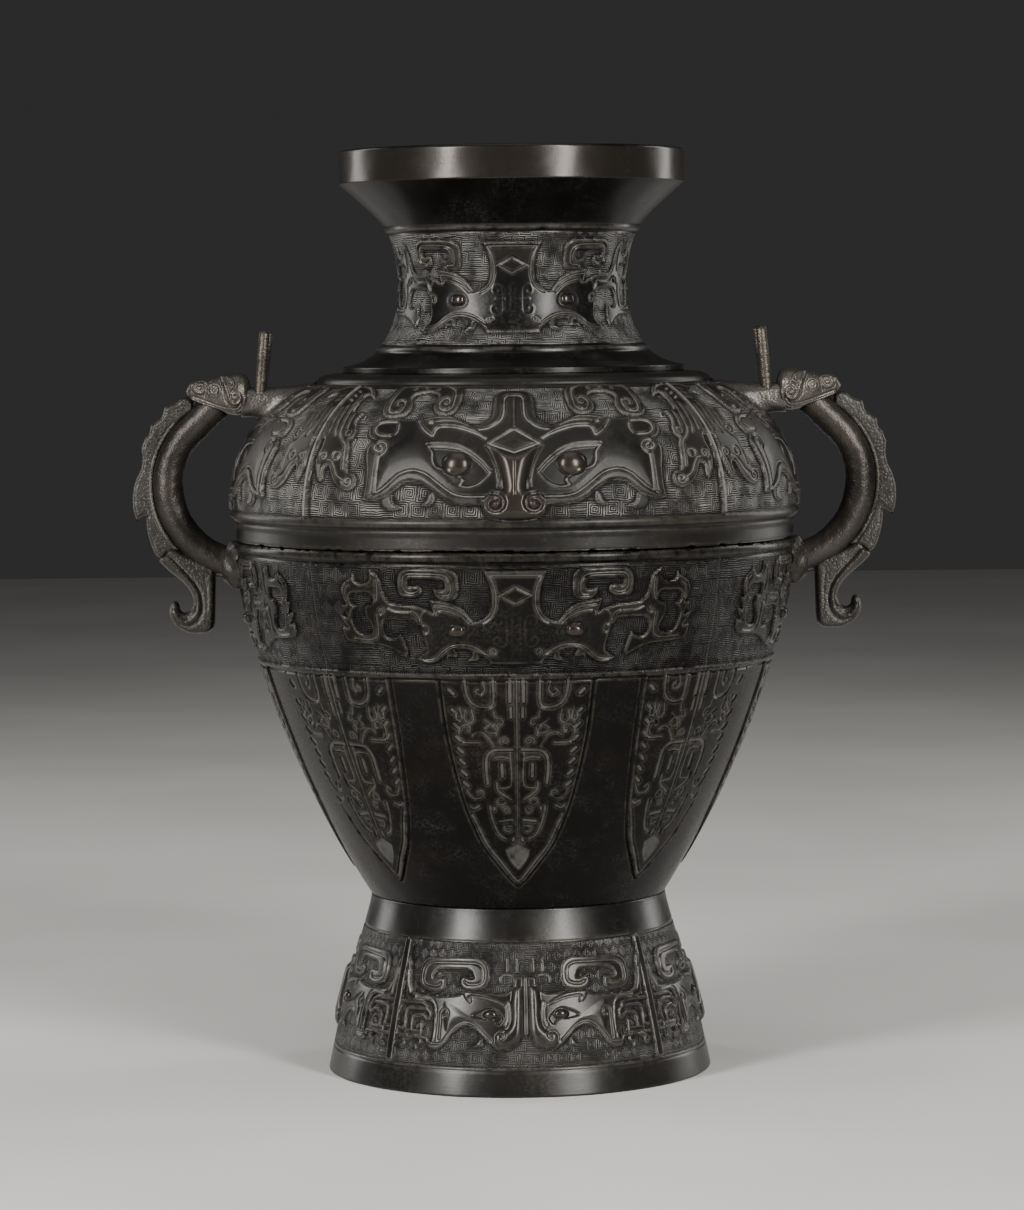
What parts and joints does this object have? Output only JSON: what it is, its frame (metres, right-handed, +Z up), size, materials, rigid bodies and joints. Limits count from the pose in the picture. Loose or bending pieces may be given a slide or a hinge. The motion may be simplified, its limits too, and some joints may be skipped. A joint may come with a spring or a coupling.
{
  "type": "wine jar",
  "caption": "Archaistic bronze lei wine jar: flared mouth, broad masked shoulder, tapering belly, splayed hollow foot and dragon loop handles with upright ears, crest and hooked tail.",
  "frame": {"origin": "centre of the foot ring's underside, on the ground", "axes": "+Z up along the jar's turning axis, handles along X, the pictured front faces -Y"},
  "size_m": [0.3744, 0.2852, 0.45],
  "materials": {
    "dark_bronze": "dark brown-black patinated cast bronze, satin on the raised ornament and dusty in the ground",
    "worn_bronze": "patinated cast bronze worn smooth and brighter by handling",
    "rough_bronze": "patinated cast bronze with a rough pitted casting skin",
    "solder": "lumpy grey-brown hard solder, patinated with the bronze"
  },
  "bodies": {
    "root": {"neck": "dark_bronze", "shoulder": "dark_bronze", "belly": "dark_bronze", "foot": "worn_bronze", "base_plate": "rough_bronze", "left_handle_bar": "worn_bronze", "left_handle_head": "worn_bronze", "left_handle_crest": "rough_bronze", "left_handle_tail": "rough_bronze", "left_upper_lug": "rough_bronze", "left_root_collar": "solder", "left_front_ear": "rough_bronze", "left_rear_ear": "rough_bronze", "right_handle_bar": "worn_bronze", "right_handle_head": "worn_bronze", "right_handle_crest": "rough_bronze", "right_handle_tail": "rough_bronze", "right_upper_lug": "rough_bronze", "right_root_collar": "solder", "right_front_ear": "rough_bronze", "right_rear_ear": "rough_bronze"}
  },
  "joints": []
}
